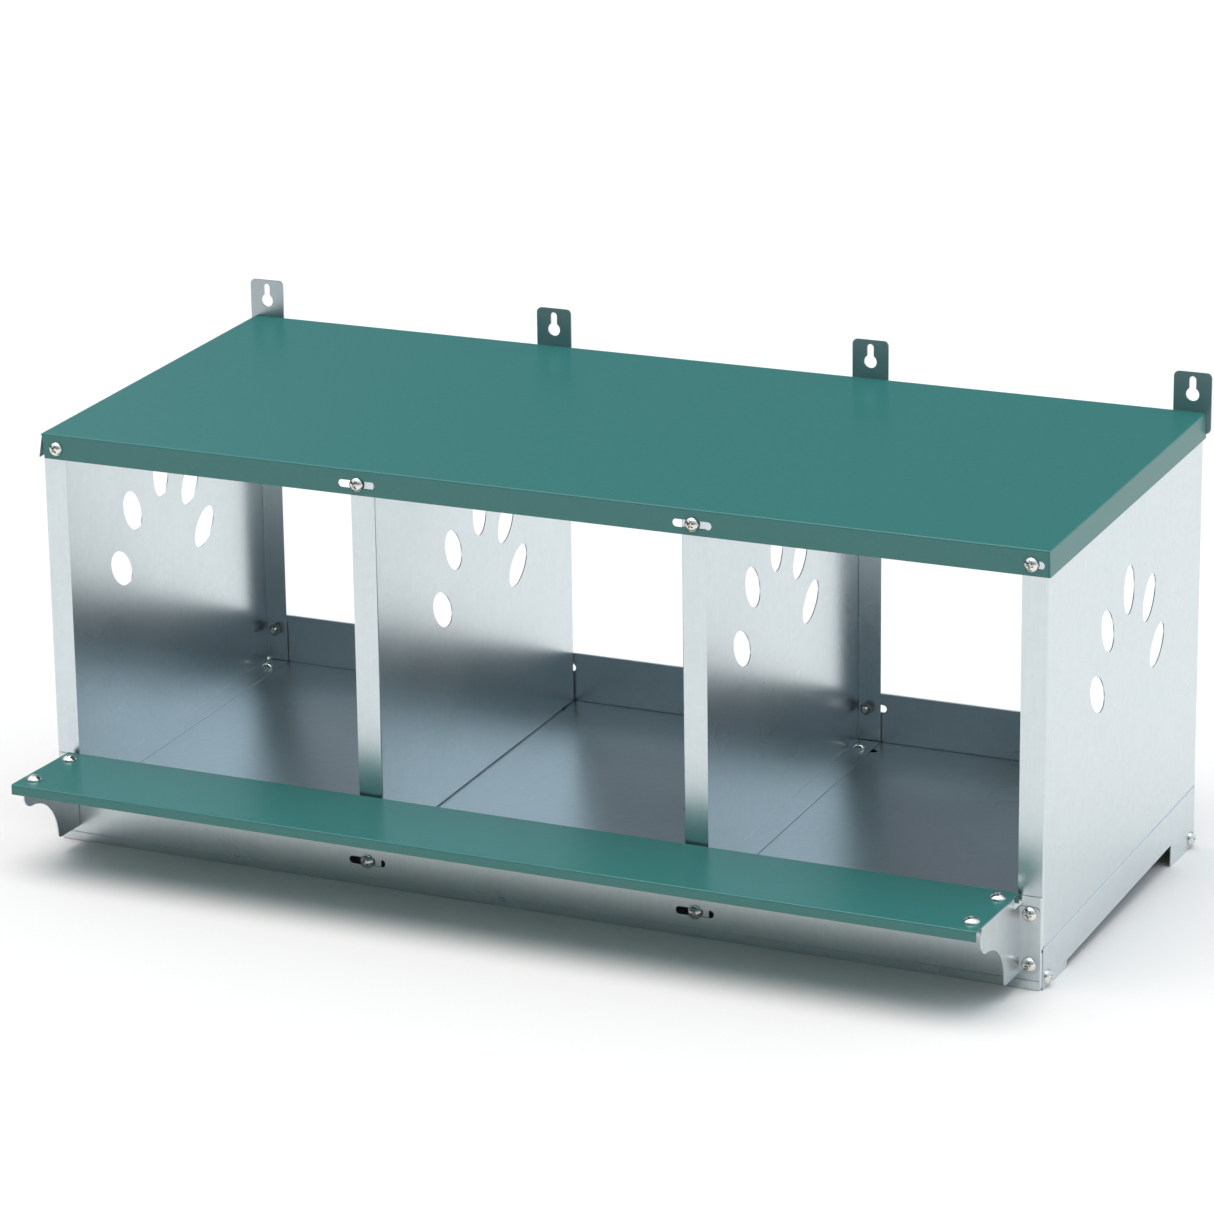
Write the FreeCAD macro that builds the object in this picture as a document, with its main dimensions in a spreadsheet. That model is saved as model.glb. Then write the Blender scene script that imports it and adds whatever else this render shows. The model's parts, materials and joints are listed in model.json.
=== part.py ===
import FreeCAD, Part
import os
import Sketcher

# Three-bay nesting box for hens, folded from galvanised sheet steel, with a
# powder-coated roof and perch. Millimetres, +Z up, hens enter from -Y.
# Every sketch uses the box's working frame: X from the roof's left end, Y back
# from the roof's front face and Z up from the ground. The placement that all
# sub-parts share then moves the origin to the middle of the footprint.

DIMENSIONS = (
    # roof: a shallow tray that falls towards the front
    ("roof_length", 900), ("roof_depth", 369), ("front_height", 360), ("slope", 0.0524),
    ("roof_lip", 21.5), ("roof_splay_left", 3.8), ("roof_splay_right", 0.9),
    ("corner_slit_left", 1.8), ("corner_slit_right", 0.3),
    # sheet: gauge, outside bend radius, air between fixed and between sliding sheets
    ("gauge", 0.8), ("bend_radius", 1.6), ("fixed_gap", 0.1), ("slide_gap", 0.3),
    ("roof_gap", 0.5), ("seat_air", 0.02),
    # side panels and dividers
    ("panel_inset", 1), ("flange", 21.5), ("relief_width", 1.6), ("relief_height", 2.4),
    ("tongue_foot", 6), ("tongue_inset", 3),
    ("oval_middle", 188.5), ("oval_half_length", 20.6), ("oval_half_width", 12.9),
    ("left_web", 315.5), ("right_web", 590.5), ("left_bay_line", 300), ("right_bay_line", 600),
    # floor: a sloping sheet with side skirts that stand on four feet
    ("floor_height", 34), ("skirt_depth", 30.8), ("front_foot", 56), ("rear_foot", 60),
    ("floor_front", 2.2), ("floor_screw_front", 25), ("floor_screw_rear", 346.5),
    # boards across the front and the rear
    ("front_board_height", 77.5), ("rear_board_height", 98), ("board_return", 22),
    ("return_height", 29), ("rear_return_height", 47), ("return_foot", 2), ("hem", 7.5),
    ("board_screw_height", 21), ("upper_screw_height", 63), ("rear_screw_height", 84),
    ("skirt_screw_inset", 10), ("skirt_screw_height", 8.5),
    # slots and holes
    ("slot_width", 6.6), ("slot_length", 34), ("hole_diameter", 6.4), ("end_hole_inset", 12),
    ("end_slot_left", 14), ("end_slot_right", 12),
    ("end_slot_length_left", 11.5), ("end_slot_length_right", 16),
    ("roof_screw_left", 14), ("roof_screw_right", 15),
    ("front_hole_drop", 12.5), ("rear_hole_drop", 11.3),
    # perch and its two brackets
    ("perch_reach", 96), ("perch_clearance", 3), ("perch_length", 865), ("perch_shift", -2.5),
    ("perch_top", 80.5), ("perch_lip", 8.8), ("perch_hole_inset", 11),
    ("perch_screw_front", -77.5), ("perch_screw_rear", -21),
    ("bracket_gauge", 1), ("bracket_inset", 19.5), ("bracket_foot", 13.5),
    ("bracket_shelf", 24), ("bracket_tab", 6.5), ("tab_clearance", 0.3),
    ("bracket_flange", 17.5), ("bracket_shoulder", 69), ("bracket_toe", 2),
    ("bracket_notch", -15), ("nose_radius", 11), ("sweep_radius", 40), ("sweep_centre", -74.5),
    ("bracket_corner", 5), ("bracket_slot_length", 14), ("bracket_slot_inset", 9),
    # hanging plates with a keyhole
    ("hanger_width", 33), ("hanger_gauge", 1.5), ("hanger_foot", 361), ("hanger_top", 412.5),
    ("hanger_corner", 4.5), ("keyhole_height", 393.6), ("keyhole_radius", 5.8),
    ("keyhole_neck", 6), ("keyhole_top", 409),
    # M6 pan-head screw, the perch screws' wider head, and the nut
    ("screw_radius", 3), ("screw_length", 11), ("head_radius", 6.1), ("head_height", 4.4),
    ("perch_head_radius", 6.8),
    ("head_rim", 0.9), ("recess_width", 1.2), ("recess_length", 5.6), ("recess_depth", 2),
    ("nut_radius", 5.77), ("nut_height", 5), ("nut_bore", 3.05), ("nut_chamfer", 0.5),
)

# Five equal ventilation ovals, fanned out like toe prints: distance of the centre behind
# the panel's middle, height of the centre, and lean from upright towards the rear in degrees
OVALS = (
    (0, 276.5, 0),
    (49.5, 256, 32),
    (-49.5, 256, -32),
    (71.5, 209.5, 46),
    (-71.5, 209.5, -46),
)
OVAL_FIELDS = ("offset", "height", "lean")

LENGTH = "dims.roof_length"
UNDER_ROOF = "dims.front_height - dims.gauge - dims.roof_gap"
FRONT_BOARD_BACK = "dims.gauge"
REAR_BOARD_FACE = "dims.roof_depth - dims.gauge"
FRONT_HOLE = "dims.front_height - dims.front_hole_drop"
REAR_HOLE = "dims.front_height + dims.slope*dims.roof_depth - dims.rear_hole_drop"
ORIGIN_X = "-dims.roof_length/2"
REAR_END = "dims.roof_depth + dims.slide_gap + dims.hanger_gauge + dims.head_height"
ORIGIN_Y = f"-({REAR_END} - dims.perch_reach)/2"

HEAD_FORWARD = FreeCAD.Rotation(FreeCAD.Vector(1, 0, 0), 90)
HEAD_BACK = FreeCAD.Rotation(FreeCAD.Vector(1, 0, 0), -90)
HEAD_LEFT = FreeCAD.Rotation(FreeCAD.Vector(0, 1, 0), -90)
HEAD_RIGHT = FreeCAD.Rotation(FreeCAD.Vector(0, 1, 0), 90)
FLOOR_TILT = FreeCAD.Rotation(FreeCAD.Vector(0, 0, 1),
                              FreeCAD.Vector(0, -dict(DIMENSIONS)["slope"], 1))
HEAD_UP = FreeCAD.Rotation()

doc = FreeCAD.newDocument("nesting_box")
nodes = []


def fill_sheet():
    sheet = doc.addObject("Spreadsheet::Sheet", "dims")
    rows = list(DIMENSIONS)
    for number, oval in enumerate(OVALS, 1):
        rows += [(f"oval{number}_{field}", value) for field, value in zip(OVAL_FIELDS, oval)]
    for row, (alias, value) in enumerate(rows, 1):
        sheet.set(f"A{row}", alias)
        sheet.set(f"B{row}", str(value))
        sheet.setAlias(f"B{row}", alias)
    doc.recompute()


def place(item):
    """Give a finished sub-part the placement that they all share."""
    item.setExpression("Placement.Base.x", ORIGIN_X)
    item.setExpression("Placement.Base.y", ORIGIN_Y)
    nodes.append(item)


def new_body(label):
    body = doc.addObject("PartDesign::Body", label)
    body.Label = label
    return body


def sketch_on(body, role, offset="0"):
    """A sketch on one of the body's origin planes, moved along the plane's normal.

    XZ_Plane faces -Y, so a sketch at depth y has the offset -y.
    """
    sketch = body.newObject("Sketcher::SketchObject", body.Label + "_sketch")
    origin_plane = next(item for item in body.Origin.OriginFeatures if item.Role == role)
    sketch.AttachmentSupport = (origin_plane, [""])
    sketch.MapMode = "FlatFace"
    sketch.setExpression("AttachmentOffset.Base.z", offset)
    return sketch


def bind(sketch, kind, value, *where):
    """Add a dimension to a sketch and bind it to the spreadsheet."""
    index = sketch.addConstraint(Sketcher.Constraint(kind, *where, measure(sketch, value)))
    sketch.setExpression(f"Constraints[{index}]", value)


def measure(item, expression):
    return float(item.evalExpression(expression))


def point(sketch, x, y):
    return FreeCAD.Vector(measure(sketch, x), measure(sketch, y), 0)


def pin_point(sketch, x, y, geometry, position):
    bind(sketch, "DistanceX", x, -1, 1, geometry, position)
    bind(sketch, "DistanceY", y, -1, 1, geometry, position)


def add_polygon(sketch, corners, centres=None):
    """A closed outline. A side whose number is in centres is an arc about that point."""
    centres = centres or {}
    places = [point(sketch, x, y) for x, y in corners]
    first = sketch.GeometryCount
    count = len(corners)
    ends = []
    for index, start in enumerate(places):
        finish = places[(index + 1) % count]
        if index in centres:
            centre = point(sketch, *centres[index])
            towards_crown = ((start + finish) / 2 - centre).normalize()
            crown = centre + towards_crown * (start - centre).Length
            sketch.addGeometry(Part.Arc(start, crown, finish), False)
            clockwise = (start - centre).cross(finish - centre).z < 0
            ends.append((2, 1) if clockwise else (1, 2))
        else:
            sketch.addGeometry(Part.LineSegment(start, finish), False)
            ends.append((1, 2))
    for index, (x, y) in enumerate(corners):
        following = (index + 1) % count
        meeting = (first + index, ends[index][1], first + following, ends[following][0])
        sketch.addConstraint(Sketcher.Constraint("Coincident", *meeting))
        pin_point(sketch, x, y, first + index, ends[index][0])
    for index, (x, _) in centres.items():
        bind(sketch, "DistanceX", x, -1, 1, first + index, 3)


def add_rectangle(sketch, x_low, y_low, x_high, y_high):
    corners = ((x_low, y_low), (x_high, y_low), (x_high, y_high), (x_low, y_high))
    add_polygon(sketch, corners)


def add_circle(sketch, x, y, radius):
    circle = Part.Circle(point(sketch, x, y), FreeCAD.Vector(0, 0, 1), measure(sketch, radius))
    index = sketch.addGeometry(circle, False)
    pin_point(sketch, x, y, index, 3)
    bind(sketch, "Radius", radius, index)


def add_slot(sketch, x, y, length, width):
    """A slot that runs along the sketch's first axis."""
    half = f"(({length}) - ({width}))/2"
    radius = f"({width})/2"
    left = point(sketch, f"{x} - {half}", y)
    right = point(sketch, f"{x} + {half}", y)
    size = measure(sketch, radius)
    up = FreeCAD.Vector(0, size, 0)
    side = FreeCAD.Vector(size, 0, 0)
    first = sketch.GeometryCount
    sketch.addGeometry(Part.Arc(left + up, left - side, left - up), False)
    sketch.addGeometry(Part.LineSegment(left - up, right - up), False)
    sketch.addGeometry(Part.Arc(right - up, right + side, right + up), False)
    sketch.addGeometry(Part.LineSegment(right + up, left + up), False)
    for near, near_end, far, far_end in ((0, 2, 1, 1), (1, 2, 2, 1), (2, 2, 3, 1), (3, 2, 0, 1)):
        tangent = Sketcher.Constraint("Tangent", first + near, near_end, first + far, far_end)
        sketch.addConstraint(tangent)
    pin_point(sketch, f"{x} - {half}", y, first, 3)
    bind(sketch, "DistanceX", f"{x} + {half}", -1, 1, first + 2, 3)
    bind(sketch, "Radius", radius, first)


def add_oval(sketch, number):
    """An ellipse whose long axis leans from upright towards the rear."""
    offset, height, lean = (f"dims.oval{number}_{field}" for field in OVAL_FIELDS)
    y = f"dims.oval_middle + {offset}"
    centre = point(sketch, y, height)
    turn = FreeCAD.Rotation(FreeCAD.Vector(0, 0, 1), -measure(sketch, lean))
    up = FreeCAD.Vector(0, measure(sketch, "dims.oval_half_length"), 0)
    side = FreeCAD.Vector(-measure(sketch, "dims.oval_half_width"), 0, 0)
    ellipse = Part.Ellipse(centre + turn.multVec(up), centre + turn.multVec(side), centre)
    index = sketch.addGeometry(ellipse, False)
    sketch.exposeInternalGeometry(index)
    long_axis, wide_axis = index + 1, index + 2
    pin_point(sketch, y, height, index, 3)
    bind(sketch, "Distance", "2*dims.oval_half_length", long_axis)
    bind(sketch, "Distance", "2*dims.oval_half_width", wide_axis)
    # the axis line runs downwards from the upper end, so its angle is below the horizontal
    bind(sketch, "Angle", f"(-90 - {lean})*1deg", long_axis)


def pad(body, sketch, length, backwards=False):
    feature = body.newObject("PartDesign::Pad", body.Label + "_pad")
    feature.Profile = sketch
    feature.setExpression("Length", length)
    feature.Reversed = backwards
    doc.recompute()
    return feature


def pocket(body, sketch, length, backwards=False, both_ways=False):
    """Cut a sketch's outline out of the body, and make sure that it cuts something.

    The cut runs against the plane's normal: to +Y, -X or -Z. Backwards turns it round.
    """
    before = body.Shape.Volume
    feature = body.newObject("PartDesign::Pocket", body.Label + "_pocket")
    feature.Profile = sketch
    feature.setExpression("Length", length)
    feature.Reversed = backwards
    feature.Midplane = both_ways
    doc.recompute()
    if not body.Shape.Volume < before - 0.01:
        raise RuntimeError(f"{feature.Label} cuts nothing")
    return feature


def facing(axis, sign):
    """A test for flat faces whose normal points mostly along one axis."""
    def test(face):
        if not isinstance(face.Surface, Part.Plane):
            return False
        return getattr(face.normalAt(0, 0), axis) * sign > 0.7
    return test


def fold(body, block, skin, opened):
    """Turn a block into a folded sheet: round the skin's bends, then hollow it out."""
    skin_face = next(face for face in block.Shape.Faces if skin(face))
    walls = [face for face in block.Shape.Faces if not skin(face) and not opened(face)]
    bends = []
    for number, edge in enumerate(block.Shape.Edges, 1):
        on_skin = any(edge.isSame(other) for other in skin_face.Edges)
        on_wall = any(edge.isSame(other) for wall in walls for other in wall.Edges)
        if on_skin and on_wall:
            bends.append(f"Edge{number}")
    rounded = body.newObject("PartDesign::Fillet", body.Label + "_bends")
    rounded.Base = (block, bends)
    rounded.setExpression("Radius", "dims.bend_radius")
    doc.recompute()
    shell = body.newObject("PartDesign::Thickness", body.Label + "_sheet")
    faces = [f"Face{n}" for n, face in enumerate(rounded.Shape.Faces, 1) if opened(face)]
    shell.Base = (rounded, faces)
    shell.setExpression("Value", "dims.gauge")
    shell.Reversed = True
    doc.recompute()


def round_edges(body, base, radius, test):
    feature = body.newObject("PartDesign::Fillet", body.Label + "_round")
    edges = [f"Edge{n}" for n, edge in enumerate(base.Shape.Edges, 1) if test(edge)]
    feature.Base = (base, edges)
    feature.setExpression("Radius", radius)
    doc.recompute()
    return feature


def on_line(sketch, axis, **places):
    """A test for straight edges along one axis that pass through the given coordinates."""
    targets = {name: measure(sketch, value) for name, value in places.items()}

    def test(edge):
        if not isinstance(edge.Curve, Part.Line):
            return False
        middle = edge.CenterOfMass
        along = abs(getattr(edge.tangentAt(edge.FirstParameter), axis)) > 0.9
        return along and all(abs(getattr(middle, n) - v) < 0.01 for n, v in targets.items())
    return test


def roof_panel():
    """Tray with four folded lips. The side lips splay, the left one further than the right."""
    body = new_body("roof_panel")
    top = "dims.front_height"
    foot = "dims.front_height - dims.roof_lip"
    section = sketch_on(body, "XZ_Plane")
    add_polygon(section, (("0", top), (LENGTH, top),
                          (f"{LENGTH} + dims.roof_splay_right", foot),
                          ("-dims.roof_splay_left", foot)))
    block = body.newObject("PartDesign::Pad", "roof_block")
    block.Profile = section
    block.setExpression("Length", "dims.roof_depth")
    block.UseCustomVector = True
    block.AlongSketchNormal = True
    block.Direction = FreeCAD.Vector(0, 1, measure(block, "dims.slope"))
    doc.recompute()
    fold(body, block, facing("z", 1), facing("z", -1))
    for offset, rise, towards_rear in (("0", "0", True),
                                       ("-dims.roof_depth", "dims.slope*dims.roof_depth", False)):
        high = f"{top} + {rise} - dims.bend_radius"
        low = f"{foot} + {rise} - 2"
        for side in ("left", "right"):
            slit = sketch_on(body, "XZ_Plane", offset)
            outer = across(side, f"-2*dims.roof_splay_{side}")
            add_polygon(slit, ((outer, low), (outer, high), (across(side, "dims.gauge"), high),
                               (across(side, f"dims.gauge + dims.corner_slit_{side}"), low)))
            pocket(body, slit, f"dims.corner_slit_{side}", not towards_rear)
        holes = sketch_on(body, "XZ_Plane", offset)
        drop = FRONT_HOLE if towards_rear else REAR_HOLE
        for side in ("left", "right"):
            add_slot(holes, across(side, f"dims.end_slot_{side}"), drop,
                     f"dims.end_slot_length_{side}", "dims.slot_width")
        for line in ("dims.left_bay_line", "dims.right_bay_line"):
            add_slot(holes, line, drop, "dims.slot_length", "dims.slot_width")
        pocket(body, holes, "3*dims.gauge", not towards_rear)
    place(body)


def across(side, distance):
    """A position that far from the roof's left or right end."""
    return distance if side == "left" else f"{LENGTH} - ({distance})"


def upright_panel(label, web, folded, screw, roof_screw, gap, upper_hole):
    """Side panel or divider: a flat web with four flanges folded the same way.

    The front flange runs down past the floor as a tongue behind the front board. The
    screw at its top may stand off the line of the others.
    """
    body = new_body(label)
    sign = "+" if folded > 0 else "-"
    front = f"{FRONT_BOARD_BACK} + {gap}"
    rear = f"{REAR_BOARD_FACE} - dims.gauge - {gap}"
    foot = f"dims.floor_height + {gap}"
    web_sketch = sketch_on(body, "YZ_Plane", web)
    add_polygon(web_sketch, ((front, f"{foot} + dims.slope*({front})"),
                             (rear, f"{foot} + dims.slope*({rear})"),
                             (rear, f"{UNDER_ROOF} + dims.slope*({rear})"),
                             (front, f"{UNDER_ROOF} + dims.slope*({front})")))
    block = pad(body, web_sketch, "dims.flange", folded < 0)
    fold(body, block, facing("x", -folded), facing("x", folded))

    reliefs = sketch_on(body, "YZ_Plane", web)
    behind = f"({front} + dims.gauge)"
    before = f"({rear} - dims.gauge)"
    for near, far in ((behind, f"({behind} + dims.relief_width)"),
                      (f"({before} - dims.relief_width)", before)):
        for level, inward in ((foot, "+"), (UNDER_ROOF, "-")):
            edge = f"{level} + dims.slope*{near}"
            outer = f"{edge} {'-' if inward == '+' else '+'} dims.gauge"
            inner = f"{edge} {inward} dims.relief_height"
            low, high = (outer, inner) if inward == "+" else (inner, outer)
            add_rectangle(reliefs, near, low, far, high)
    pocket(body, reliefs, "2*dims.flange", both_ways=True)

    tongue = sketch_on(body, "XZ_Plane", f"-({front})")
    ends = (f"{web} {sign} dims.tongue_inset", f"{web} {sign} dims.flange")
    low_x, high_x = ends if folded > 0 else ends[::-1]
    add_rectangle(tongue, low_x, "dims.tongue_foot", high_x, f"{foot} + dims.flange")
    pad(body, tongue, "dims.gauge", True)

    ovals = sketch_on(body, "YZ_Plane", web)
    for number in range(1, len(OVALS) + 1):
        add_oval(ovals, number)
    pocket(body, ovals, "4*dims.gauge", both_ways=True)

    hole = "dims.hole_diameter/2"
    front_holes = sketch_on(body, "XZ_Plane")
    add_circle(front_holes, roof_screw, FRONT_HOLE, hole)
    add_circle(front_holes, screw, "dims.board_screw_height", hole)
    if upper_hole:
        add_circle(front_holes, screw, "dims.upper_screw_height", hole)
    pocket(body, front_holes, "4*dims.gauge")
    rear_holes = sketch_on(body, "XZ_Plane", "-dims.roof_depth")
    for height in (REAR_HOLE, "dims.rear_screw_height"):
        add_circle(rear_holes, screw, height, hole)
    pocket(body, rear_holes, "5*dims.gauge", True)
    floor_holes = sketch_on(body, "XY_Plane")
    for depth in ("dims.floor_screw_front", "dims.floor_screw_rear"):
        add_circle(floor_holes, screw, depth, hole)
    pocket(body, floor_holes, "2*dims.floor_height", True)
    doc.recompute()
    place(body)


def floor_panel():
    """Sloping floor whose sides fold down into skirts that end in four feet."""
    body = new_body("floor_panel")
    front = "dims.floor_front"
    rear = f"{REAR_BOARD_FACE} - dims.gauge - dims.fixed_gap"
    heel = f"{rear} - dims.rear_foot"
    arch = "dims.floor_height - dims.skirt_depth"
    profile = sketch_on(body, "YZ_Plane", "dims.panel_inset")
    add_polygon(profile, ((front, "0"), ("dims.front_foot", "0"),
                          ("dims.front_foot", f"{arch} + dims.slope*dims.front_foot"),
                          (heel, f"{arch} + dims.slope*({heel})"), (heel, "0"), (rear, "0"),
                          (rear, f"dims.floor_height + dims.slope*({rear})"),
                          (front, f"dims.floor_height + dims.slope*{front}")))
    block = pad(body, profile, f"{LENGTH} - 2*dims.panel_inset")
    top = facing("z", 1)

    def highest(face):
        return top(face) and face.CenterOfMass.z > measure(block, "dims.floor_height")

    def opened(face):
        flat = isinstance(face.Surface, Part.Plane)
        return flat and not highest(face) and abs(face.normalAt(0, 0).x) < 0.7
    fold(body, block, highest, opened)

    holes = sketch_on(body, "XY_Plane")
    for depth in ("dims.floor_screw_front", "dims.floor_screw_rear"):
        for side in ("left", "right"):
            add_circle(holes, across(side, "dims.end_hole_inset"), depth, "dims.hole_diameter/2")
        for line in ("dims.left_bay_line", "dims.right_bay_line"):
            add_slot(holes, line, depth, "dims.slot_length", "dims.slot_width")
    pocket(body, holes, "2*dims.floor_height", True)
    skirt_holes = sketch_on(body, "YZ_Plane")
    for depth in SKIRT_SCREWS:
        add_circle(skirt_holes, depth, "dims.skirt_screw_height", "dims.hole_diameter/2")
    pocket(body, skirt_holes, LENGTH, True)
    place(body)


SKIRT_SCREWS = ("dims.panel_inset + dims.skirt_screw_inset",
                "dims.roof_depth - dims.panel_inset - dims.skirt_screw_inset")


def cross_board(label, back, height, forward, return_height, hem_low, screw_rows):
    """Front or rear board: a plate with end returns inside the skirts and one hem."""
    body = new_body(label)
    inset = "dims.panel_inset + dims.gauge + dims.fixed_gap"
    outline = sketch_on(body, "XY_Plane")
    near = back if forward else f"{back} - dims.board_return"
    far = f"{back} + dims.board_return" if forward else back
    add_rectangle(outline, inset, near, across("right", inset), far)
    block = pad(body, outline, height)
    skin_side = -1 if forward else 1

    def opened(face):
        normal = face.normalAt(0, 0)
        return abs(normal.z) > 0.7 or normal.y * skin_side < -0.7
    fold(body, block, facing("y", skin_side), opened)

    # the returns stop below the floor
    trim = sketch_on(body, "YZ_Plane")
    plate = f"{near} + dims.gauge" if forward else near
    far_plate = far if forward else f"{far} - dims.gauge"
    add_rectangle(trim, plate, f"dims.return_foot + {return_height}", far_plate, f"{height} + 1")
    add_rectangle(trim, plate, "-1", far_plate, "dims.return_foot")
    pocket(body, trim, LENGTH, True)

    # the hem: one long edge folded flat on the plate's front
    hem = sketch_on(body, "XY_Plane", hem_low)
    clear = f"{inset} + dims.bend_radius"
    plate_front = back if forward else f"{back} - dims.gauge"
    hem_face = f"{plate_front} - dims.gauge"
    add_rectangle(hem, clear, hem_face, across("right", clear), f"{plate_front} + dims.gauge/2")
    strip = pad(body, hem, "dims.hem")
    crease = "0" if forward else f"{hem_low} + dims.hem"
    round_edges(body, strip, "0.75*dims.gauge", on_line(strip, "x", y=hem_face, z=crease))

    for line, row, shape in screw_rows:
        holes = sketch_on(body, "XZ_Plane", f"-({back})")
        if shape == "slot":
            add_slot(holes, line, row, "dims.slot_length", "dims.slot_width")
        else:
            add_circle(holes, line, row, "dims.hole_diameter/2")
        pocket(body, holes, "4*dims.gauge", both_ways=True)
    skirt_holes = sketch_on(body, "YZ_Plane")
    depth = SKIRT_SCREWS[0] if forward else SKIRT_SCREWS[1]
    add_circle(skirt_holes, depth, "dims.skirt_screw_height", "dims.hole_diameter/2")
    pocket(body, skirt_holes, LENGTH, True)
    place(body)


def perch_board():
    """Perch: a narrow tray open at both ends, with a lip down at front and rear."""
    body = new_body("perch_board")
    left = f"({LENGTH} - dims.perch_length)/2 + dims.perch_shift"
    profile = sketch_on(body, "YZ_Plane", left)
    add_rectangle(profile, "-dims.perch_reach", "dims.perch_top - dims.perch_lip",
                  "-dims.perch_clearance", "dims.perch_top")
    block = pad(body, profile, "dims.perch_length")

    def opened(face):
        normal = face.normalAt(0, 0)
        return abs(normal.x) > 0.7 or normal.z < -0.7
    fold(body, block, facing("z", 1), opened)
    holes = sketch_on(body, "XY_Plane", "dims.perch_top + 1")
    for x in PERCH_SCREWS:
        for y in ("dims.perch_screw_front", "dims.perch_screw_rear"):
            add_circle(holes, x, y, "dims.hole_diameter/2")
    pocket(body, holes, "4*dims.gauge")
    place(body)


PERCH_SCREWS = (
    f"({LENGTH} - dims.perch_length)/2 + dims.perch_shift + dims.perch_hole_inset",
    f"({LENGTH} + dims.perch_length)/2 + dims.perch_shift - dims.perch_hole_inset",
)


def perch_bracket(side):
    """Bracket: a curved web, a shelf folded in under the perch, a flange folded out."""
    body = new_body("perch_bracket_" + side)
    inward = side == "left"
    web = across(side, "dims.bracket_inset")
    shelf = "dims.perch_top - dims.gauge - dims.fixed_gap"
    # the nose is a quarter arc that runs on into the hollow quarter arc below it
    sweep_foot = "dims.bracket_foot + dims.bracket_toe"
    nose_foot = f"{sweep_foot} + dims.sweep_radius"
    nose_centre = f"{nose_foot} + dims.nose_radius"
    nose_front = "dims.sweep_centre - dims.nose_radius"
    sweep_end = "dims.sweep_centre + dims.sweep_radius"
    profile = sketch_on(body, "YZ_Plane", web)
    corners = (("0", "dims.bracket_foot"), ("0", "dims.bracket_shoulder"),
               ("dims.bracket_notch", "dims.bracket_shoulder"), ("dims.bracket_notch", shelf),
               (nose_front, shelf), (nose_front, nose_centre), ("dims.sweep_centre", nose_foot),
               (sweep_end, sweep_foot), (f"{sweep_end} + dims.bracket_toe", "dims.bracket_foot"))
    centres = {5: ("dims.sweep_centre", nose_centre), 6: ("dims.sweep_centre", sweep_foot)}
    add_polygon(profile, corners, centres)
    pad(body, profile, "dims.bracket_gauge", not inward)

    ledge = sketch_on(body, "XY_Plane", f"{shelf} - dims.bracket_gauge")
    edges = (web, across(side, "dims.bracket_inset + dims.bracket_shelf"))
    low_x, high_x = edges if inward else edges[::-1]
    add_rectangle(ledge, low_x, nose_front, high_x, "dims.bracket_notch")
    pad(body, ledge, "dims.bracket_gauge")

    # the shelf's front end is folded down behind the perch's lip
    tab = sketch_on(body, "XZ_Plane", f"-({nose_front})")
    clear = across(side, "dims.bracket_inset + dims.bracket_gauge + dims.tab_clearance")
    low_x, high_x = (clear, high_x) if inward else (low_x, clear)
    add_rectangle(tab, low_x, f"{shelf} - dims.bracket_tab", high_x, shelf)
    pad(body, tab, "dims.bracket_gauge", True)

    flange = sketch_on(body, "XZ_Plane")
    outer = across(side, "dims.bracket_inset + dims.bracket_gauge - dims.bracket_flange")
    inner = across(side, "dims.bracket_inset + dims.bracket_gauge")
    low_x, high_x = (outer, inner) if inward else (inner, outer)
    add_rectangle(flange, low_x, "dims.bracket_foot", high_x, "dims.bracket_shoulder")
    mount = pad(body, flange, "dims.bracket_gauge")
    rounded = round_edges(body, mount, "dims.bracket_corner", on_line(mount, "y", x=outer))
    shelf_bend = on_line(rounded, "y", x=web, z=shelf)
    fold_x = inner
    flange_bend = on_line(rounded, "z", x=fold_x, y="0")
    rounded = round_edges(body, rounded, "1.2*dims.bracket_gauge",
                          lambda edge: shelf_bend(edge) or flange_bend(edge))

    slots = sketch_on(body, "XY_Plane", "dims.perch_top")
    for y in ("dims.perch_screw_front", "dims.perch_screw_rear"):
        add_slot(slots, across(side, "dims.bracket_inset + dims.bracket_slot_inset"), y,
                 "dims.bracket_slot_length", "dims.slot_width")
    pocket(body, slots, "4*dims.bracket_gauge")
    holes = sketch_on(body, "XZ_Plane")
    for height in ("dims.board_screw_height", "dims.upper_screw_height"):
        add_circle(holes, across(side, "dims.end_hole_inset"), height, "dims.hole_diameter/2")
    pocket(body, holes, "4*dims.bracket_gauge", both_ways=True)
    place(body)


def hanger(label, line, gap):
    """Hanging plate behind the roof's rear lip, with a keyhole above the roof."""
    body = new_body(label)
    face = f"-dims.roof_depth - {gap}"
    outline = sketch_on(body, "XZ_Plane", face)
    left = f"{line} - dims.hanger_width/2"
    right = f"{line} + dims.hanger_width/2"
    add_rectangle(outline, left, "dims.hanger_foot", right, "dims.hanger_top")
    plate = pad(body, outline, "dims.hanger_gauge", True)
    round_edges(body, plate, "dims.hanger_corner",
                lambda edge: abs(edge.tangentAt(edge.FirstParameter).y) > 0.9)
    reach = "dims.keyhole_top - dims.keyhole_neck/2"
    for height, radius in (("dims.keyhole_height", "dims.keyhole_radius"),
                           (reach, "dims.keyhole_neck/2"),
                           (REAR_HOLE, "dims.hole_diameter/2")):
        cut = sketch_on(body, "XZ_Plane", face)
        add_circle(cut, line, height, radius)
        pocket(body, cut, "4*dims.hanger_gauge", both_ways=True)
    neck = sketch_on(body, "XZ_Plane", face)
    add_rectangle(neck, f"{line} - dims.keyhole_neck/2", "dims.keyhole_height",
                  f"{line} + dims.keyhole_neck/2", reach)
    pocket(body, neck, "4*dims.hanger_gauge", both_ways=True)
    place(body)


def primitive(kind, name, sizes):
    item = doc.addObject("Part::" + kind, name)
    for prop, expression in sizes.items():
        item.setExpression(prop, expression)
    return item


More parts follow.
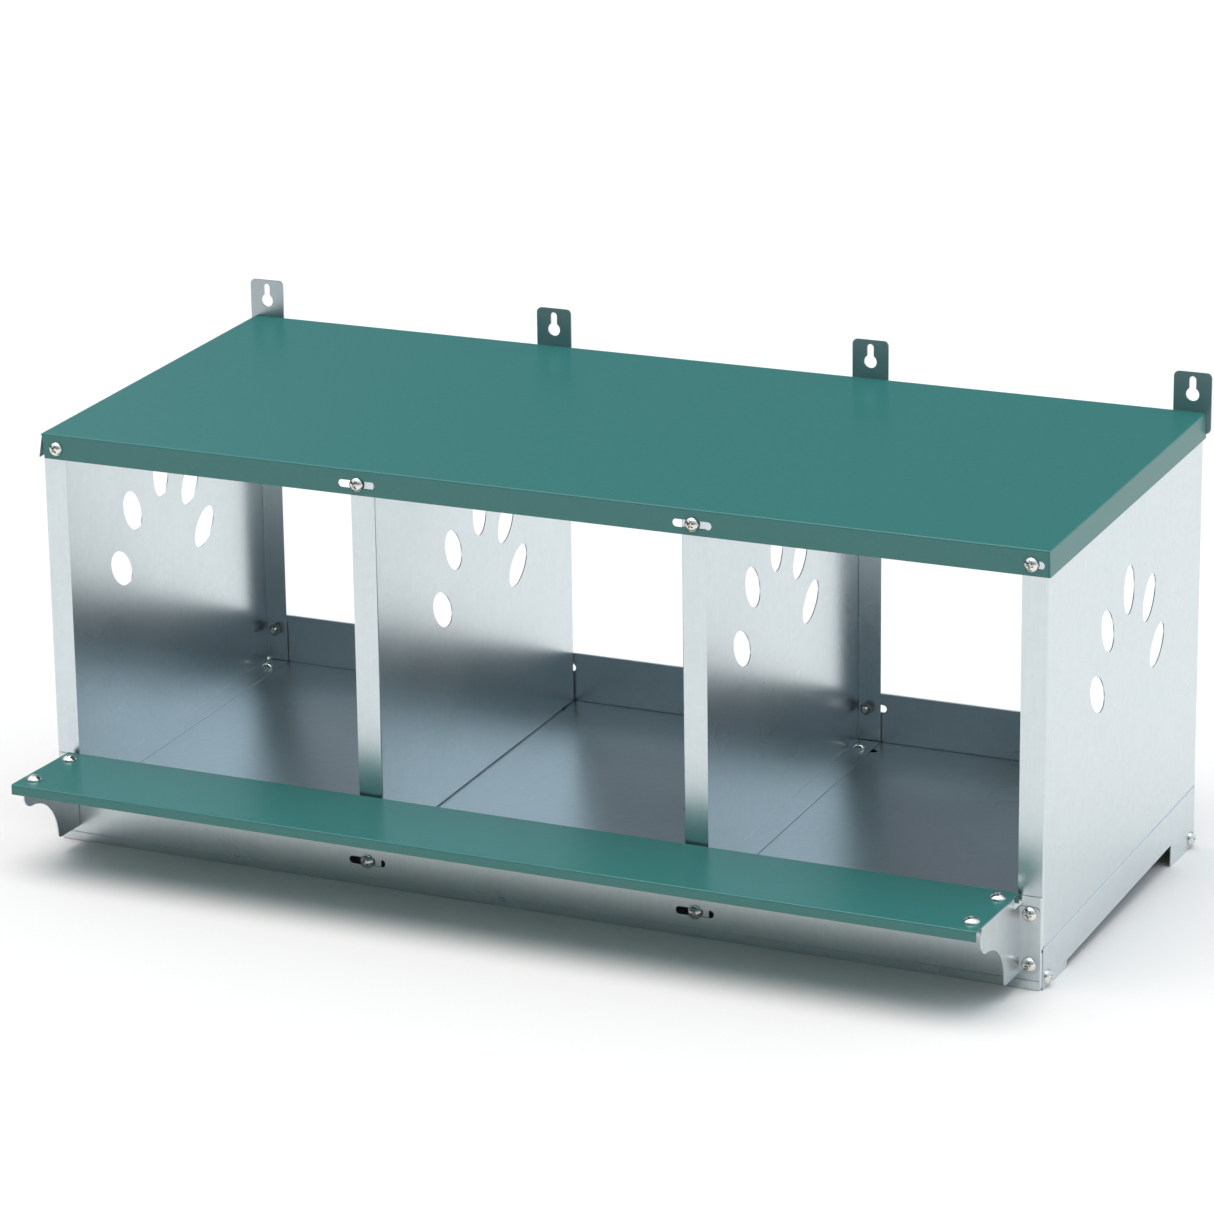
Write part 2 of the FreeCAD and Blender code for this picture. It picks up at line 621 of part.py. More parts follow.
def boolean(kind, name, *operands):
    item = doc.addObject("Part::" + kind, name)
    if kind in ("MultiFuse", "MultiCommon"):
        item.Shapes = list(operands)
    else:
        item.Base, item.Tool = operands
    return item


def pan_screw(label, head_radius):
    """Domed head with a cross recess above z = 0, shank below it."""
    ball_radius = (f"({head_radius}^2 + (dims.head_height - dims.head_rim)^2)"
                   "/(2*(dims.head_height - dims.head_rim))")
    ball = primitive("Sphere", "head_ball", {
        "Radius": ball_radius, "Placement.Base.z": f"dims.head_height - {ball_radius}"})
    drum = primitive("Cylinder", "head_drum", {
        "Radius": head_radius, "Height": "dims.head_height"})
    shank = primitive("Cylinder", "shank", {
        "Radius": "dims.screw_radius", "Height": "dims.screw_length + dims.head_rim",
        "Placement.Base.z": "-dims.screw_length"})
    solid = boolean("MultiFuse", "screw_solid", boolean("MultiCommon", "head", ball, drum), shank)
    wings = []
    for name, long_side, short_side in (("wing_x", "Length", "Width"),
                                        ("wing_y", "Width", "Length")):
        wings.append(primitive("Box", name, {
            long_side: "dims.recess_length", short_side: "dims.recess_width",
            "Height": "2*dims.recess_depth",
            f"Placement.Base.{'x' if long_side == 'Length' else 'y'}": "-dims.recess_length/2",
            f"Placement.Base.{'y' if long_side == 'Length' else 'x'}": "-dims.recess_width/2",
            "Placement.Base.z": "dims.head_height - dims.recess_depth"}))
    pip = primitive("Cone", "recess_point", {
        "Radius1": "0.3*dims.recess_width", "Radius2": "1.2*dims.recess_width",
        "Height": "dims.recess_depth + 0.4*dims.recess_width",
        "Placement.Base.z": "dims.head_height - dims.recess_depth - 0.4*dims.recess_width"})
    recess = boolean("MultiFuse", "recess", *wings, pip)
    return boolean("Cut", label, solid, recess)


def hex_nut():
    """Hexagon nut that stands on z = 0, its corners chamfered at both ends."""
    hexagon = primitive("Prism", "nut_hexagon", {
        "Circumradius": "dims.nut_radius", "Height": "dims.nut_height"})
    hexagon.Polygon = 6
    envelope = primitive("Cylinder", "nut_envelope", {
        "Radius": "dims.nut_radius", "Height": "dims.nut_height"})
    doc.recompute()
    chamfered = doc.addObject("Part::Chamfer", "nut_chamfered")
    chamfered.Base = envelope
    size = measure(envelope, "dims.nut_chamfer")
    chamfered.Edges = [(n, size, size) for n, edge in enumerate(envelope.Shape.Edges, 1)
                       if isinstance(edge.Curve, Part.Circle)]
    bore = primitive("Cylinder", "nut_bore", {
        "Radius": "dims.nut_bore", "Height": "3*dims.nut_height",
        "Placement.Base.z": "-dims.nut_height"})
    body = boolean("MultiCommon", "nut_body", hexagon, chamfered)
    return boolean("Cut", "hex_nut", body, bore)


def fastener_group(label, master, spots):
    """One sub-part that holds several equal fasteners as separate solids."""
    links = []
    for number, (x, y, z, turn) in enumerate(spots, 1):
        link = doc.addObject("App::Link", f"{label}_{number}")
        link.LinkedObject = master
        link.Placement = FreeCAD.Placement(FreeCAD.Vector(), turn)
        for axis, value in zip("xyz", (x, y, z)):
            link.setExpression(f"Placement.Base.{axis}", value)
        links.append(link)
    group = doc.addObject("Part::Compound", label)
    group.Label = label
    group.Links = links
    place(group)


def through_front(lines, height, seat, nut_face):
    """Screws whose heads face forward, and the nuts behind the panel flange."""
    heads = [(line, seat, height, HEAD_FORWARD) for line in lines]
    nuts = [(line, nut_face, height, HEAD_BACK) for line in lines]
    return heads, nuts


def through_rear(lines, height, seat, nut_face):
    heads = [(line, seat, height, HEAD_BACK) for line in lines]
    nuts = [(line, nut_face, height, HEAD_FORWARD) for line in lines]
    return heads, nuts


def through_floor(lines, gap, nut_gap):
    """Screws that stand square to the sloping floor, and the nuts below it."""
    heads, nuts = [], []
    drop = f"(2*dims.gauge + {gap} + {nut_gap} + dims.nut_height)"
    for line in lines:
        for depth in ("dims.floor_screw_front", "dims.floor_screw_rear"):
            seat = f"dims.floor_height + dims.slope*{depth} + {gap} + dims.gauge + dims.seat_air"
            heads.append((line, depth, seat, FLOOR_TILT))
            nuts.append((line, f"{depth} + dims.slope*{drop}", f"{seat} - {drop} - dims.seat_air",
                         FLOOR_TILT))
    return heads, nuts


def add_fasteners(screw, perch_screw, nut):
    ends = [across(side, "dims.end_hole_inset") for side in ("left", "right")]
    fixed_front = f"{FRONT_BOARD_BACK} + dims.fixed_gap + dims.gauge"
    fixed_rear = f"{REAR_BOARD_FACE} - dims.fixed_gap - 2*dims.gauge"
    behind_hanger = "dims.roof_depth + dims.fixed_gap + dims.hanger_gauge"
    groups = {
        "roof_front": through_front([across(side, f"dims.roof_screw_{side}")
                                     for side in ("left", "right")],
                                    FRONT_HOLE, "0", fixed_front),
        "outer_hanger": through_rear(ends, REAR_HOLE, behind_hanger, fixed_rear),
        "rear_board": through_rear(ends, "dims.rear_screw_height", "dims.roof_depth", fixed_rear),
        "side_panel_floor": through_floor(ends, "dims.fixed_gap", "dims.seat_air"),
    }
    heads, nuts = [], []
    for height in ("dims.board_screw_height", "dims.upper_screw_height"):
        row = through_front(ends, height, "-dims.bracket_gauge", fixed_front)
        heads += row[0]
        nuts += row[1]
    groups["perch_bracket"] = (heads, nuts)

    shelf = "dims.perch_top - dims.gauge - dims.fixed_gap - dims.bracket_gauge"
    quarter = FreeCAD.Rotation(FreeCAD.Vector(0, 0, 1), 30)
    rows = ("dims.perch_screw_front", "dims.perch_screw_rear")
    groups["perch"] = (
        [(x, y, "dims.perch_top", HEAD_UP) for x in PERCH_SCREWS for y in rows],
        [(x, y, f"{shelf} - dims.nut_height", quarter) for x in PERCH_SCREWS for y in rows])

    inner = "dims.panel_inset + 2*dims.gauge + dims.fixed_gap"
    level = "dims.skirt_screw_height"
    groups["skirt"] = (
        [("dims.panel_inset", depth, level, HEAD_LEFT) for depth in SKIRT_SCREWS]
        + [(across("right", "dims.panel_inset"), depth, level, HEAD_RIGHT)
           for depth in SKIRT_SCREWS],
        [(inner, depth, level, HEAD_RIGHT) for depth in SKIRT_SCREWS]
        + [(across("right", inner), depth, level, HEAD_LEFT) for depth in SKIRT_SCREWS])

    gap = "dims.slide_gap"
    sliding_front = f"{FRONT_BOARD_BACK} + {gap} + dims.gauge"
    sliding_rear = f"{REAR_BOARD_FACE} - {gap} - 2*dims.gauge"
    for side in ("left", "right"):
        line = [f"dims.{side}_bay_line"]
        parts = (
            through_front(line, FRONT_HOLE, f"-{gap}", sliding_front),
            through_front(line, "dims.board_screw_height", f"-{gap}", sliding_front),
            through_rear(line, REAR_HOLE, f"dims.roof_depth + {gap} + dims.hanger_gauge",
                         sliding_rear),
            through_rear(line, "dims.rear_screw_height", f"dims.roof_depth + {gap}",
                         sliding_rear),
            through_floor(line, gap, gap),
        )
        groups["divider_" + side] = ([spot for heads, _ in parts for spot in heads],
                                     [spot for _, nuts in parts for spot in nuts])
    for name, (heads, nuts) in groups.items():
        fastener_group(name + "_screws", perch_screw if name == "perch" else screw, heads)
        fastener_group(name + "_nuts", nut, nuts)


def check_and_export():
    doc.recompute()
    for item in doc.Objects:
        if "Invalid" in item.State or "Error" in item.State:
            raise RuntimeError(f"{item.Label}: {item.State}")
    for node in nodes:
        if node.Shape.isNull() or not node.Shape.isValid():
            raise RuntimeError(f"{node.Label} has no valid shape")
    os.makedirs("parts", exist_ok=True)
    for node in nodes:
        box = node.Shape.BoundBox
        print(f"{node.Label}: {len(node.Shape.Solids)} solid(s), {node.Shape.Volume:.0f} mm3,"
              f" x {box.XMin:.1f}..{box.XMax:.1f}, y {box.YMin:.1f}..{box.YMax:.1f},"
              f" z {box.ZMin:.1f}..{box.ZMax:.1f}")
        node.Shape.exportStep(f"parts/{node.Label}.step")


fill_sheet()
roof_panel()
for end_side, end_fold in (("left", 1), ("right", -1)):
    upright_panel(end_side + "_side_panel", across(end_side, "dims.panel_inset"), end_fold,
                  across(end_side, "dims.end_hole_inset"),
                  across(end_side, f"dims.roof_screw_{end_side}"), "dims.fixed_gap", True)
for bay_side, bay_fold in (("left", -1), ("right", 1)):
    bay_line = f"dims.{bay_side}_bay_line"
    upright_panel("divider_" + bay_side, f"dims.{bay_side}_web", bay_fold, bay_line, bay_line,
                  "dims.slide_gap", False)
floor_panel()
bay_lines = ("dims.left_bay_line", "dims.right_bay_line")
end_lines = [across(side, "dims.end_hole_inset") for side in ("left", "right")]
front_rows = [(line, "dims.board_screw_height", "slot") for line in bay_lines]
front_rows += [(line, row, "hole") for line in end_lines
               for row in ("dims.board_screw_height", "dims.upper_screw_height")]
cross_board("front_board", "0", "dims.front_board_height", True, "dims.return_height",
            "0", front_rows)
rear_rows = [(line, "dims.rear_screw_height", "slot") for line in bay_lines]
rear_rows += [(line, "dims.rear_screw_height", "hole") for line in end_lines]
cross_board("rear_board", "dims.roof_depth", "dims.rear_board_height", False,
            "dims.rear_return_height", "dims.rear_board_height - dims.hem", rear_rows)
perch_board()
for bracket_side in ("left", "right"):
    perch_bracket(bracket_side)
hanger("hanger_left", end_lines[0], "dims.fixed_gap")
hanger("hanger_right", end_lines[1], "dims.fixed_gap")
hanger("hanger_divider_left", bay_lines[0], "dims.slide_gap")
hanger("hanger_divider_right", bay_lines[1], "dims.slide_gap")
add_fasteners(pan_screw("pan_screw", "dims.head_radius"),
              pan_screw("perch_screw", "dims.perch_head_radius"), hex_nut())
check_and_export()
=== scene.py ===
import json
import math

import bmesh
import bpy
from mathutils import Euler, Matrix, Vector

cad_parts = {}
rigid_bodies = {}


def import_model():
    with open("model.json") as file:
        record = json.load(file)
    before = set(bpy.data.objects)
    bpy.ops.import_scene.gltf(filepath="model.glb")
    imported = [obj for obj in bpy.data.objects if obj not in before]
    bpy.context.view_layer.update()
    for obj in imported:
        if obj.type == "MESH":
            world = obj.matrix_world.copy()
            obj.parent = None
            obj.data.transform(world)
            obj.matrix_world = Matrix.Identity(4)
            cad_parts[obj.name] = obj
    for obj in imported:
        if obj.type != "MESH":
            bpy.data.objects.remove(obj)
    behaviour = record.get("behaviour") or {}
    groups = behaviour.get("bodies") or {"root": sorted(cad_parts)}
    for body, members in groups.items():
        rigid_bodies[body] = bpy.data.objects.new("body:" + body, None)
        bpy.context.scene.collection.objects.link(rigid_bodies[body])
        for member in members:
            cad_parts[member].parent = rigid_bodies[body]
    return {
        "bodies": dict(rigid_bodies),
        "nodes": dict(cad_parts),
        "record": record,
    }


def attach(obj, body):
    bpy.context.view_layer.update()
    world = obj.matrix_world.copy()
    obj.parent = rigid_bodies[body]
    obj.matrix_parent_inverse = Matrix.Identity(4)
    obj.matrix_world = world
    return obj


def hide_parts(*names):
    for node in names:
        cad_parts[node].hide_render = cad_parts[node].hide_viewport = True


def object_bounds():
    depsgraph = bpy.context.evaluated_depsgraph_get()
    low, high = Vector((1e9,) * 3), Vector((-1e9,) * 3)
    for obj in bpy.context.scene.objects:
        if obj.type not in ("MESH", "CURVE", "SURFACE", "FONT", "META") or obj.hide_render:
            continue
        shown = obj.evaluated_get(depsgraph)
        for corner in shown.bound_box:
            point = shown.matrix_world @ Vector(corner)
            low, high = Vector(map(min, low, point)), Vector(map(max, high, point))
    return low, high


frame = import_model()
cad_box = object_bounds()
nodes = frame["nodes"]

# Lengths are in metres, unless a name says millimetres.

# ---------------------------------------------------------------- camera
CAMERA_TARGET = Vector((0.0061, 0.0041, 0.2214))
CAMERA_DISTANCE = 4.0212
CAMERA_AZIMUTH = math.radians(25.59)
CAMERA_ELEVATION = math.radians(17.09)
CAMERA_ROLL = math.radians(-0.756)
CAMERA_LENS_MM = 142.83
SENSOR_WIDTH_MM = 36.0


def direction(azimuth, elevation):
    """The way from the object towards a place at that azimuth (0 is -Y, positive to +X)."""
    level = math.cos(elevation)
    return Vector((math.sin(azimuth) * level, -math.cos(azimuth) * level, math.sin(elevation)))


def make_camera():
    data = bpy.data.cameras.new("camera")
    data.sensor_width = SENSOR_WIDTH_MM
    data.lens = CAMERA_LENS_MM
    camera = bpy.data.objects.new("camera", data)
    away = direction(CAMERA_AZIMUTH, CAMERA_ELEVATION)
    camera.location = CAMERA_TARGET + away * CAMERA_DISTANCE
    level_view = away.to_track_quat("Z", "Y")
    camera.rotation_euler = (level_view @ Euler((0, 0, CAMERA_ROLL)).to_quaternion()).to_euler()
    bpy.context.scene.collection.objects.link(camera)
    bpy.context.scene.camera = camera


# ---------------------------------------------------------------- materials
BUMP_STRENGTH = 0.2
SPANGLE_SHARE = 0.35


class Finish:
    """A material in the making: its shader, and the nodes that feed the shader."""

    def __init__(self, name, metallic=0.0):
        self.material = bpy.data.materials.new(name)
        self.material.use_nodes = True
        self.tree = self.material.node_tree
        self.shader = next(node for node in self.tree.nodes if node.type == "BSDF_PRINCIPLED")
        self.shader.inputs["Metallic"].default_value = metallic

    def add(self, kind, links=None, **values):
        """A new node, with the values and the links of its inputs, or its own settings."""
        node = self.tree.nodes.new(kind)
        for key, value in values.items():
            if key in node.inputs:
                node.inputs[key].default_value = value
            else:
                setattr(node, key, value)
        for socket, source in (links or {}).items():
            self.tree.links.new(source, node.inputs[socket])
        return node

    def object_place(self):
        return self.add("ShaderNodeTexCoord").outputs["Object"]

    def noise(self, place, scale, detail):
        return self.add("ShaderNodeTexNoise", {"Vector": place}, Scale=scale,
                        Detail=detail).outputs[0]

    def remap(self, source, across, onto):
        """A value that goes over the range onto while its source goes over the range across."""
        ends = {"From Min": across[0], "From Max": across[1],
                "To Min": onto[0], "To Max": onto[1]}
        return self.add("ShaderNodeMapRange", {"Value": source}, **ends).outputs[0]

    def feed(self, socket, source):
        self.tree.links.new(source, self.shader.inputs[socket])

    def tint(self, tone, shade):
        """Colours the shader with a tone that a shade below 1 darkens."""
        colour = self.add("ShaderNodeMix", {"Factor": shade}, data_type="RGBA")
        colour.inputs["A"].default_value = (0.0, 0.0, 0.0, 1.0)
        colour.inputs["B"].default_value = (*tone, 1.0)
        self.feed("Base Color", colour.outputs["Result"])

    def bump(self, height, relief):
        bump = self.add("ShaderNodeBump", {"Height": height}, Strength=BUMP_STRENGTH,
                        Distance=relief)
        self.feed("Normal", bump.outputs[0])


def galvanised_material(name, tone, roughness):
    """Hot-dip galvanised sheet: blurred reflections, a rolling grain and faint zinc spangle."""
    finish = Finish(name, metallic=1.0)
    place = finish.object_place()
    upright = finish.add("ShaderNodeMapping", {"Vector": place}, Scale=(900.0, 900.0, 14.0))
    rolling = finish.noise(upright.outputs[0], scale=1.0, detail=3.0)
    spangle = finish.add("ShaderNodeTexVoronoi", {"Vector": place}, Scale=170.0)
    patches = finish.add("ShaderNodeMix", {"A": rolling, "B": spangle.outputs["Color"]},
                         Factor=SPANGLE_SHARE)
    finish.tint(tone, finish.remap(patches.outputs[0], (0.3, 0.75), (0.94, 1.0)))
    cloud = finish.noise(place, scale=9.0, detail=2.0)
    roughnesses = (roughness - 0.02, roughness + 0.02)
    finish.feed("Roughness", finish.remap(cloud, (0.3, 0.7), roughnesses))
    finish.bump(rolling, relief=0.00002)
    return finish.material


def powder_coat_material(name, tone, roughness):
    """Semi-matte powder coat: fine orange peel and a very faint mottle."""
    finish = Finish(name)
    place = finish.object_place()
    mottle = finish.noise(place, scale=260.0, detail=3.0)
    finish.tint(tone, finish.remap(mottle, (0.3, 0.7), (0.93, 1.0)))
    finish.shader.inputs["Roughness"].default_value = roughness
    finish.shader.inputs["IOR"].default_value = 1.6
    peel = finish.noise(place, scale=900.0, detail=2.0)
    finish.bump(peel, relief=0.00004)
    return finish.material


def plated_material(name, tone, roughness):
    """Plating on screws and nuts, with fine forming marks."""
    finish = Finish(name, metallic=1.0)
    finish.shader.inputs["Base Color"].default_value = (*tone, 1.0)
    marks = finish.noise(finish.object_place(), scale=1500.0, detail=3.0)
    roughnesses = (roughness - 0.05, roughness + 0.07)
    finish.feed("Roughness", finish.remap(marks, (0.3, 0.7), roughnesses))
    finish.bump(marks, relief=0.00003)
    return finish.material


FINISHES = {
    "green_coat": powder_coat_material("green_powder_coat", (0.024, 0.172, 0.152), 0.30),
    "galvanised_sheet": galvanised_material("galvanised_sheet", (0.685, 0.74, 0.757), 0.29),
    "galvanised_plate": galvanised_material("galvanised_plate", (0.62, 0.66, 0.675), 0.29),
    # The hanging plates' finish is a darker copy of the galvanised plate tone: painted shade
    # standing in for the dimmer reflection they catch.
    "painted_shade_plate": galvanised_material("painted_shade_plate", (0.41, 0.46, 0.48), 0.30),
    "zinc_plated": plated_material("zinc_plate", (0.78, 0.75, 0.70), 0.13),
    "dull_nut": plated_material("dull_nut", (0.40, 0.365, 0.35), 0.28),
}


def paint(piece, material):
    piece.data.materials.clear()
    piece.data.materials.append(material)


def finish_cad_nodes():
    """Every node gets its slot's finish, but the hanging plates get a darker copy of the
    galvanised tone: painted shade for the dimmer reflection they catch.
    """
    slot_of = {part["node"]: part["material_slot"] for part in frame["record"]["subparts"]}
    for name, node in nodes.items():
        finish = "painted_shade_plate" if name.startswith("hanger_") else slot_of[name]
        paint(node, FINISHES[finish])


# ---------------------------------------------------------------- fasteners
# A screw stands on z = 0 with its head above and its shank below. A nut is centred there.
HEAD_HEIGHT = 0.0044
HEAD_RIM = 0.0009
RIM_ROUND = 0.0003
HEAD_STEPS = 96
RECESS_RINGS = 15
DOME_RINGS = 6

# The cross recess: how far its wings reach, half their width, the radius of the round pit
# that joins them, and how far in from an end or a side the full depth begins. The head's
# finely divided middle goes just beyond the wings.
RECESS_REACH = 0.0030
RECESS_WING = 0.00065
RECESS_DEPTH = 0.0024
RECESS_HUB = 0.00155
WING_SLOPE = 0.0010
WALL_SLOPE = 0.00025
RECESS_EDGE = RECESS_REACH * 1.02

SHANK_RADIUS = 0.00295
SHANK_LENGTH = 0.011
SHANK_TIP = 0.0006
SHANK_STEPS = 48
THREAD_START = 0.0045
THREAD_PITCH = 0.001
THREAD_DEPTH = 0.0004
THREAD_SAMPLES = 3
ROUNDING = 1e-6

NUT_FLAT = 0.0049965
NUT_HALF_HEIGHT = 0.0025
NUT_FACE = 0.0047
NUT_BORE = 0.00305
NUT_COUNTERSINK = 0.0004
CHAMFER_SLOPE = math.tan(math.radians(30))
NUT_SECTOR = math.pi / 3

# How CAD fasteners are read: corners that agree to so many digits are one, corners farther
# than this from a screw's axis are its head's, and a screw this nearly along X, Y or Z is
# taken to be exactly along it.
WELD_DIGITS = 6
HEAD_BEYOND = 1.6 * SHANK_RADIUS
STRAIGHT_WITHIN = math.radians(1)

# Each screw's recess is turned on from the last one's. Edges sharper than the angle stay sharp.
SPIN_STEP = math.radians(37)
SHARP_ANGLE = math.radians(32)


def clamp(value):
    return max(0.0, min(1.0, value))


def ring(radius, height, steps):
    """A ring of points; radius and height may be functions of the angle."""
    points = []
    for step in range(steps):
        angle = 2 * math.pi * step / steps
        far = radius(angle) if callable(radius) else radius
        high = height(angle) if callable(height) else height
        points.append((far * math.cos(angle), far * math.sin(angle), high))
    return points


def skin(rings, closed):
    """Points and faces of a skin over rings: closed on itself, or capped at both ends."""
    rows = len(rings)
    steps = len(rings[0])
    points = [point for row in rings for point in row]
    faces = []
    for row in range(rows if closed else rows - 1):
        below = (row + 1) % rows
        for step in range(steps):
            after = (step + 1) % steps
            faces.append((row * steps + step, row * steps + after,
                          below * steps + after, below * steps + step))
    if not closed:
        for row in (0, rows - 1):
            centre = len(points)
            heights = [point[2] for point in rings[row]]
            points.append((0.0, 0.0, sum(heights) / steps))
            faces += [(centre, row * steps + step, row * steps + (step + 1) % steps)
                      for step in range(steps)]
    return points, faces


def recess_depth(x, y):
    """How deep the cross recess is at a place on the head."""
    def wing(along, sideways):
        return clamp(min((RECESS_REACH - abs(along)) / WING_SLOPE,
                         (RECESS_WING - abs(sideways)) / WALL_SLOPE))
    hub = clamp((RECESS_HUB - math.hypot(x, y)) / WALL_SLOPE)
    return RECESS_DEPTH * max(wing(x, y), wing(y, x), hub)


def head_rings(head_radius):
    """A domed head with a cross recess: rings over the top from its middle, then the rim."""
    dome = HEAD_HEIGHT - HEAD_RIM
    ball = (head_radius ** 2 + dome ** 2) / (2 * dome)
    corner = RIM_ROUND / 2
    dome_width = head_radius - corner - RECESS_EDGE
    radii = [RECESS_EDGE * row / RECESS_RINGS for row in range(1, RECESS_RINGS + 1)]
    radii += [RECESS_EDGE + dome_width * (row / DOME_RINGS) for row in range(1, DOME_RINGS + 1)]

    def top_ring(radius):
        def height(angle):
            top = HEAD_HEIGHT - ball + math.sqrt(ball ** 2 - radius ** 2)
            return top - recess_depth(radius * math.cos(angle), radius * math.sin(angle))
        return ring(radius, height, HEAD_STEPS)
    rim = [ring(head_radius, HEAD_RIM - corner, HEAD_STEPS),
           ring(head_radius, corner, HEAD_STEPS),
           ring(head_radius - corner, 0.0, HEAD_STEPS)]
    return [top_ring(radius) for radius in radii] + rim


def shank_rings():
    """A shank with a plain stretch under the head, then a thread down to its tip."""
    def thread_ring(drop):
        def radius(angle):
            turn = drop / THREAD_PITCH + angle / (2 * math.pi)
            return SHANK_RADIUS - THREAD_DEPTH * abs(2 * (turn % 1.0) - 1)
        return ring(radius, -drop, SHANK_STEPS)
    rings = [ring(SHANK_RADIUS, HEAD_RIM / 2, SHANK_STEPS)]
    drop = THREAD_START
    while drop < SHANK_LENGTH - SHANK_TIP + ROUNDING:
        rings.append(thread_ring(drop))
        drop += THREAD_PITCH / THREAD_SAMPLES
    tip_radius = SHANK_RADIUS - THREAD_DEPTH - SHANK_TIP / 2
    rings.append(ring(tip_radius, -SHANK_LENGTH, SHANK_STEPS))
    return rings


def screw_template(head_radius):
    """The closed skins of a screw: its head, and its shank."""
    return [skin(head_rings(head_radius), closed=False), skin(shank_rings(), closed=False)]


def nut_template():
    """The closed skin of a hexagon nut with chamfered corners and a countersunk bore."""
    def hexagon(angle):
        return NUT_FLAT / math.cos((angle + NUT_SECTOR / 2) % NUT_SECTOR - NUT_SECTOR / 2)

    def corner_round(side):
        def height(angle):
            cut = max(0.0, hexagon(angle) - NUT_FACE) * CHAMFER_SLOPE
            return side * (NUT_HALF_HEIGHT - cut)
        return height
    top, foot = NUT_HALF_HEIGHT, -NUT_HALF_HEIGHT
    outline = [(NUT_BORE, top - NUT_COUNTERSINK),
               (NUT_BORE + NUT_COUNTERSINK, top),
               (NUT_FACE, top),
               (hexagon, corner_round(1)),
               (hexagon, corner_round(-1)),
               (NUT_FACE, foot),
               (NUT_BORE + NUT_COUNTERSINK, foot),
               (NUT_BORE, foot + NUT_COUNTERSINK)]
    rings = [ring(radius, height, SHANK_STEPS) for radius, height in outline]
    return [skin(rings, closed=True)]


def solids_of(node):
    """The places of the corners of each separate solid in a CAD node."""
    mesh = node.data
    leader = list(range(len(mesh.vertices)))

    def find(index):
        while leader[index] != index:
            index = leader[index]
        return index

    def join(first, second):
        first, second = find(first), find(second)
        leader[max(first, second)] = min(first, second)
    seen = {}
    for vertex in mesh.vertices:
        place = tuple(round(value, WELD_DIGITS) for value in vertex.co)
        join(vertex.index, seen.setdefault(place, vertex.index))
    for edge in mesh.edges:
        join(*edge.vertices)
    groups = {}
    for vertex in mesh.vertices:
        groups.setdefault(find(vertex.index), []).append(vertex.co.copy())
    return list(groups.values())


def middle(points):
    return Vector([(min(side) + max(side)) / 2 for side in zip(*points)])


def screw_place(points):
    """Where a CAD screw's head sits, the way it points and the head's radius."""
    sides = [max(side) - min(side) for side in zip(*points)]
    number = sides.index(max(sides))
    axis = Vector([float(index == number) for index in range(3)])
    centre = middle(points)
    offsets = [point - centre for point in points]
    wide = [point for point, offset in zip(points, offsets)
            if (offset - axis * offset.dot(axis)).length > HEAD_BEYOND]
    if (middle(wide) - centre).dot(axis) < 0:
        axis = -axis
    lowest = min(point.dot(axis) for point in points)
    foot = middle([point for point in points if point.dot(axis) < lowest + SHANK_TIP])
    way = (middle(wide) - foot).normalized()
    if way.angle(axis) < STRAIGHT_WITHIN:
        way = axis
    head_radius = min(side for index, side in enumerate(sides) if index != number) / 2
    return foot + way * SHANK_LENGTH, way, head_radius


def nut_place(points, screws):
    """A CAD nut's middle, its screw's direction, and the direction of one of its corners."""
    centre = middle(points)
    way = min(screws, key=lambda place: (place[0] - centre).length)[1]
    offsets = [point - centre for point in points]
    radial = [offset - way * offset.dot(way) for offset in offsets]
    return centre, way, max(radial, key=lambda offset: offset.length).normalized()


def standing(place, way, sideways):
    """The matrix that stands a template at a place, its z along the way."""
    third = way.cross(sideways)
    return Matrix.Translation(place) @ Matrix((sideways, third, way)).transposed().to_4x4()


def fastener_piece(node_name, copies, finish):
    """One piece that stands for all fasteners of a CAD node."""
    points, faces = [], []
    for template, matrix in copies:
        for shell_points, shell_faces in template:
            first = len(points)
            points += [matrix @ Vector(point) for point in shell_points]
            faces += [[first + index for index in face] for face in shell_faces]
    mesh = bpy.data.meshes.new(node_name + "_detailed")
    mesh.from_pydata(points, [], faces)
    shape = bmesh.new()
    shape.from_mesh(mesh)
    bmesh.ops.recalc_face_normals(shape, faces=shape.faces)
    shape.to_mesh(mesh)
    shape.free()
    mesh.polygons.foreach_set("use_smooth", [True] * len(mesh.polygons))
    mesh.set_sharp_from_angle(angle=SHARP_ANGLE)
    piece = bpy.data.objects.new(node_name + "_detailed", mesh)
    bpy.context.scene.collection.objects.link(piece)
    paint(piece, FINISHES[finish])
    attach(piece, next(name for name, empty in frame["bodies"].items()
                        if nodes[node_name].parent == empty))
    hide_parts(node_name)


def make_fasteners():
    """Every screw and nut of the CAD model, in place, with its recess, thread or chamfers."""
    nut = nut_template()
    for name in [name for name in nodes if name.endswith("_screws")]:
        screws = [screw_place(points) for points in solids_of(nodes[name])]
        copies = []
        for number, (place, way, head_radius) in enumerate(screws):
            sideways = way.orthogonal().normalized()
            sideways.rotate(Matrix.Rotation(SPIN_STEP * (number + len(name)), 3, way))
            copies.append((screw_template(head_radius), standing(place, way, sideways)))
        fastener_piece(name, copies, "zinc_plated")
        nuts_name = name.replace("_screws", "_nuts")
        nuts = [nut_place(points, screws) for points in solids_of(nodes[nuts_name])]
        fastener_piece(nuts_name, [(nut, standing(*place)) for place in nuts], "dull_nut")


# ---------------------------------------------------------------- stage
# The floor lies a hair below the feet.
FLOOR_COLOUR = (0.90, 0.84, 0.80)
FLOOR_ROUGHNESS = 0.8
FLOOR_SHEEN = 0.1
FLOOR_HALF_WIDTH = 30.0
FLOOR_GAP = 0.0002

# A sun with a wide disc stands for a large patch of overhead light.
SUN_AZIMUTH = math.radians(-25.0)
SUN_ELEVATION = math.radians(80.0)
SUN_DISC = math.radians(50.0)
SUN_STRENGTH = 1.75
SUN_COLOUR = (1.0, 0.965, 0.93)
SUN_DISTANCE = 3.0

